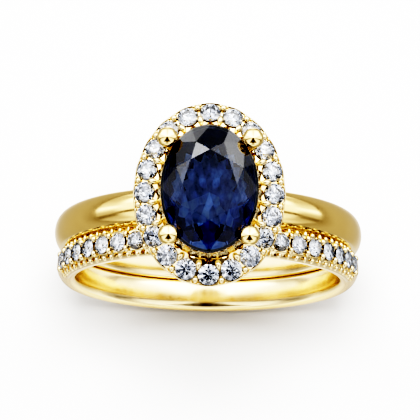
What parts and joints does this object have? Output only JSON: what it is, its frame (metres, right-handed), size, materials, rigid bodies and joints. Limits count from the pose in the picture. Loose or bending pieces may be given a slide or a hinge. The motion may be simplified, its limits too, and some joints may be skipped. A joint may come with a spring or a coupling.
{
  "type": "halo engagement ring",
  "caption": "Yellow-gold engagement ring with an oval blue sapphire in a diamond halo on a plain shank, nested with its matching pave diamond wedding band, which slides off along the finger.",
  "frame": {"origin": "centre of the engagement ring's finger hole, midway across its width", "axes": "+Z from the finger to the centre stone, Y along the finger with the wedding band on the -Y side, X across the finger"},
  "size_m": [0.0198, 0.0116, 0.0243],
  "materials": {
    "yellow_gold": "high polish 14 carat yellow gold",
    "blue_sapphire": "faceted and polished",
    "diamond": "faceted and polished"
  },
  "bodies": {
    "engagement_ring": {"engagement_shank": "yellow_gold", "head_saddle": "yellow_gold", "gallery_rail": "yellow_gold", "bearing_collar": "yellow_gold", "halo_frame": "yellow_gold", "claw_front_left": "yellow_gold", "claw_front_right": "yellow_gold", "claw_rear_left": "yellow_gold", "claw_rear_right": "yellow_gold", "halo_strut_right": "yellow_gold", "halo_strut_left": "yellow_gold", "halo_strut_rear": "yellow_gold", "halo_strut_front": "yellow_gold", "centre_sapphire": "blue_sapphire", "halo_diamond_01": "diamond", "halo_diamond_02": "diamond", "halo_diamond_03": "diamond", "halo_diamond_04": "diamond", "halo_diamond_05": "diamond", "halo_diamond_06": "diamond", "halo_diamond_07": "diamond", "halo_diamond_08": "diamond", "halo_diamond_09": "diamond", "halo_diamond_10": "diamond", "halo_diamond_11": "diamond", "halo_diamond_12": "diamond", "halo_diamond_13": "diamond", "halo_diamond_14": "diamond", "halo_diamond_15": "diamond", "halo_diamond_16": "diamond", "halo_diamond_17": "diamond", "halo_diamond_18": "diamond", "halo_diamond_19": "diamond", "halo_diamond_20": "diamond"},
    "matching_band": {"wedding_band": "yellow_gold", "band_diamond_01": "diamond", "band_diamond_02": "diamond", "band_diamond_03": "diamond", "band_diamond_04": "diamond", "band_diamond_05": "diamond", "band_diamond_06": "diamond", "band_diamond_07": "diamond", "band_diamond_08": "diamond", "band_diamond_09": "diamond", "band_diamond_10": "diamond", "band_diamond_11": "diamond", "band_diamond_12": "diamond", "band_diamond_13": "diamond", "band_diamond_14": "diamond", "band_diamond_15": "diamond", "band_diamond_16": "diamond", "band_diamond_17": "diamond", "band_diamond_18": "diamond", "band_diamond_19": "diamond", "band_diamond_20": "diamond"}
  },
  "joints": [
    {"name": "band_slide", "type": "slide", "parent": "engagement_ring", "child": "matching_band", "axis": [0, -1, 0], "range_m": [0, 0.012]}
  ]
}
